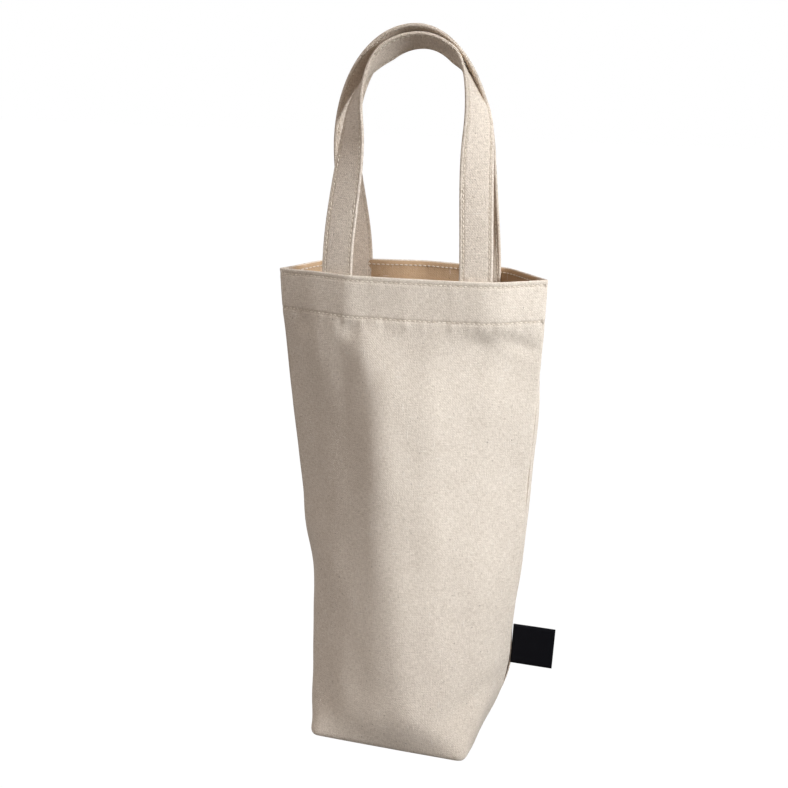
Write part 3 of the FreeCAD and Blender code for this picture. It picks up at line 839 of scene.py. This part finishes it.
def laid_thread(name, group, lines, *sizes):
    """A mesh of thread laid by the group along lines of points, its sizes in millimetres."""
    points, edges = [], []
    for line in lines:
        start = len(points)
        points.extend(tuple(p * MM) for p in line)
        edges.extend((start + i, start + i + 1) for i in range(len(line) - 1))
    mesh = bpy.data.meshes.new(name + "_lines")
    mesh.from_pydata(points, edges, [])
    guide = bpy.data.objects.new(name + "_lines", mesh)
    bpy.context.scene.collection.objects.link(guide)
    modifier = guide.modifiers.new("sewing", "NODES")
    modifier.node_group = group
    inputs = [item for item in group.interface.items_tree if item.in_out == "INPUT"]
    for item, value in zip(inputs[1:], [size * MM for size in sizes] + [thread]):
        modifier[item.identifier] = value
    made = bpy.data.meshes.new_from_object(guide.evaluated_get(bpy.context.evaluated_depsgraph_get()))
    made.name = name
    piece = bpy.data.objects.new(name, made)
    bpy.context.scene.collection.objects.link(piece)
    bpy.data.objects.remove(guide)
    return piece


# Pitch, length and thickness of a stitch, how far it stands off the hem, and how deep it lies in a strap
STITCH = (3.2, 2.5, 0.8)
STITCH_LIFT = 0.08
STITCH_SINK = 0.2

for name, height in (("hem_upper_stitching", UPPER_ROW), ("hem_lower_stitching", LOWER_ROW)):
    insets = (-STITCH_LIFT, 2 * FOLD + STITCH_LIFT)
    lines = [panel.row(height, inset)[2:-2] for panel in (front, back) for inset in insets]
    row = laid_thread(name + "_row", STITCHES, lines, *STITCH)
    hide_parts(name)
    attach(row, "bag")

for which, (middle, width, face, _) in handles.items():
    lift = STRAP_THICKNESS / 2 - STITCH_SINK
    places = [(side, up) for side in (-STRAP_ROW, STRAP_ROW) for up in (-lift, lift)]
    lines = [middle + width * side + face * up for side, up in places]
    rows = laid_thread(which + "_handle_rows", STITCHES, lines, *STITCH)
    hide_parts(which + "_handle_stitching")
    which + "_loop"
    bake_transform(rows)

# Overlocking: the run of one wrap, how its bends lie about the edge and the two faces, and its thread
OVERLOCK_PITCH = 2.2
OVERLOCK_REACH = (-4.2, 0.35)
OVERLOCK_SIDES = (1.05, 0.0, -1.05, 0.0)
OVERLOCK_THREAD = 0.24

for seam, (line, inwards, face) in SEAMS.items():
    edge = strip(line, inwards, face)[:, -1]
    run = run_of(edge)
    bends = len(OVERLOCK_SIDES) * int(run[-1] / OVERLOCK_PITCH)
    wound = []
    for k in range(bends):
        at = np.array([np.interp(run[-1] * k / bends, run, edge[:, c]) for c in range(3)])
        wound.append(at + inwards * OVERLOCK_REACH[k % 2] + face * OVERLOCK_SIDES[k % 4])
    overlock = laid_thread(seam + "_overlocking", WINDING, [np.array(wound)], OVERLOCK_THREAD)
    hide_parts(seam + "_overlock")
    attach(overlock, "bag")


# Label

LABEL_FOOT = (75.6, 0.0, 55.2)
LABEL_LEAN = math.radians(2.6)
LABEL_LENGTH = 30.5
LABEL_HEIGHT = 30.0
LABEL_HALF = 0.42
LABEL_TAPE = 0.32
LABEL_POINTS = 15


def label_grid():
    """The label's tape: out from the seam in front, round its fold and back to the seam behind."""
    out = np.array([math.cos(LABEL_LEAN), 0.0, -math.sin(LABEL_LEAN)])
    up = np.array([math.sin(LABEL_LEAN), 0.0, math.cos(LABEL_LEAN)])
    fold = LABEL_LENGTH - LABEL_HALF
    reach = np.linspace(0.6, fold, LABEL_POINTS)
    turns = np.radians(np.linspace(-90, 90, 7))[1:-1]
    leaf = np.full(LABEL_POINTS, LABEL_HALF)
    across = np.concatenate([reach, fold + LABEL_HALF * np.cos(turns), reach[::-1]])
    deep = np.concatenate([-leaf, LABEL_HALF * np.sin(turns), leaf])
    rows = []
    for rise in np.linspace(0, LABEL_HEIGHT, LABEL_POINTS):
        bow = 0.5 * np.sin(across / LABEL_LENGTH * 2.2) * (rise / LABEL_HEIGHT - 0.4)
        row = np.array(LABEL_FOOT) + out * across[:, None] + up * rise
        row[:, 1] += deep + bow
        rows.append(row)
    return np.array(rows)


label = cloth_piece("seam_label", [cloth_layer(label_grid(), -1, LABEL_TAPE)], label_tape)
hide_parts("side_label")
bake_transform(label)


# Floor, light and camera

WHITE = (1.0, 1.0, 1.0, 1.0)
FLOOR_GREY = (0.26, 0.26, 0.26, 1.0)
FLOOR_REACH = 4000.0
FLOOR_LEVEL = -0.5
ROOM_COLOUR = (1.0, 0.92, 0.885, 1.0)
ROOM_POWER = 0.52


def floor_material():
    """A white studio floor that keeps a faint shadow."""
    shade = Shade("studio floor")
    seen = shade.node("ShaderNodeLightPath", {})
    cover = shade.node("ShaderNodeBsdfDiffuse", {}, FLOOR_GREY)
    glow = shade.node("ShaderNodeEmission", {}, WHITE, 1.06)
    return shade.show(shade.node("ShaderNodeMixShader", {}, seen * 0.95, cover, glow))


square = [(-1, -1), (1, -1), (1, 1), (-1, 1)]
floor_points = np.array([(x * FLOOR_REACH, y * FLOOR_REACH, FLOOR_LEVEL) for x, y in square])
floor = new_piece("studio_floor", floor_points, [(0, 1, 2, 3)], floor_material())

world = bpy.data.worlds.new("studio")
bpy.context.scene.world = world
world.use_nodes = True
world.node_tree.nodes.clear()
studio = Net(world.node_tree)
seen = studio.node("ShaderNodeLightPath", {})
room = studio.node("ShaderNodeBackground", {}, ROOM_COLOUR, ROOM_POWER)
white = studio.node("ShaderNodeBackground", {}, WHITE, 1.0)
shown = studio.node("ShaderNodeMixShader", {}, seen, room, white)
studio.node("ShaderNodeOutputWorld", {}, shown)


LAMPS = {
    "right_softbox": {
        "place": (1.12, -0.6, 0.88),
        "aim": (0.0, 0.0, 0.25),
        "size": 0.4,
        "power": 0.95,
        "colour": (0.93, 1.0, 1.07),
        "spread": 34.0,
    },
    "rear_fill": {
        "place": (-0.9, 1.9, 0.9),
        "aim": (0.0, 0.0, 0.22),
        "size": 1.4,
        "power": 9.0,
    },
    "front_fill": {
        "place": (-0.5, -2.2, 0.9),
        "aim": (0.0, 0.0, 0.22),
        "size": 1.4,
        "power": 2.0,
    },
}


def lamp(name, place, aim, size, power, colour=(1.0, 1.0, 1.0), spread=180.0):
    """A soft square lamp at a place in metres, turned to its aim."""
    light = bpy.data.lights.new(name, "AREA")
    light.shape = "SQUARE"
    light.size = size
    light.energy = power
    light.color = colour
    light.spread = math.radians(spread)
    holder = bpy.data.objects.new(name, light)
    holder.location = place
    holder.rotation_euler = (Vector(aim) - Vector(place)).to_track_quat("-Z", "Y").to_euler()
    bpy.context.scene.collection.objects.link(holder)


for name, values in LAMPS.items():
    lamp(name, **values)


SENSOR = 36.0


def camera(azimuth, elevation, roll, distance, target, lens):
    """The camera, placed by where it looks from."""
    around, up, tilt = math.radians(azimuth), math.radians(elevation), math.radians(roll)
    back = Vector((math.sin(around) * math.cos(up), -math.cos(around) * math.cos(up), math.sin(up)))
    right = Vector((0, 0, 1)).cross(back).normalized()
    above = back.cross(right)
    side = right * math.cos(tilt) + above * math.sin(tilt)
    head = above * math.cos(tilt) - right * math.sin(tilt)
    made = bpy.data.cameras.new("camera")
    made.lens = lens
    made.sensor_width = SENSOR
    holder = bpy.data.objects.new("camera", made)
    place = Matrix((side, head, back)).transposed().to_4x4()
    place.translation = Vector(target) + back * distance
    holder.matrix_world = place
    bpy.context.scene.collection.objects.link(holder)
    bpy.context.scene.camera = holder


camera(azimuth=12.0, elevation=16.3, roll=1.0, distance=0.975, target=(-0.0121, 0.0, 0.248), lens=64.55)
bpy.context.scene.view_settings.view_transform = "Standard"
